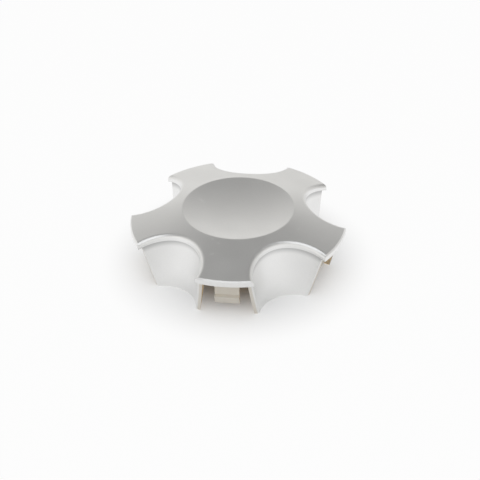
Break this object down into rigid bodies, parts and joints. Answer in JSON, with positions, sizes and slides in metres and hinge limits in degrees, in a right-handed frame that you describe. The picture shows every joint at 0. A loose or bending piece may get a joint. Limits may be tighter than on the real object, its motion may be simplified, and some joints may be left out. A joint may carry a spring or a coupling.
{
  "type": "hubcap",
  "caption": "Star-shaped wheel centre cap with a dished silver face, hollow open-ended arms, tapered nut pockets and integral snap tabs, moulded in one piece.",
  "frame": {"origin": "on the wheel axis, level with the foot of the pocket walls", "axes": "+Z along the wheel axis out through the dished face, -Y along the middle of one arm"},
  "size_m": [0.1122, 0.1087, 0.0325],
  "materials": {
    "silver_paint": "satin metallic silver paint on moulded off-white plastic, bare inside"
  },
  "bodies": {
    "root": {"centre_cap": "silver_paint"}
  },
  "joints": []
}
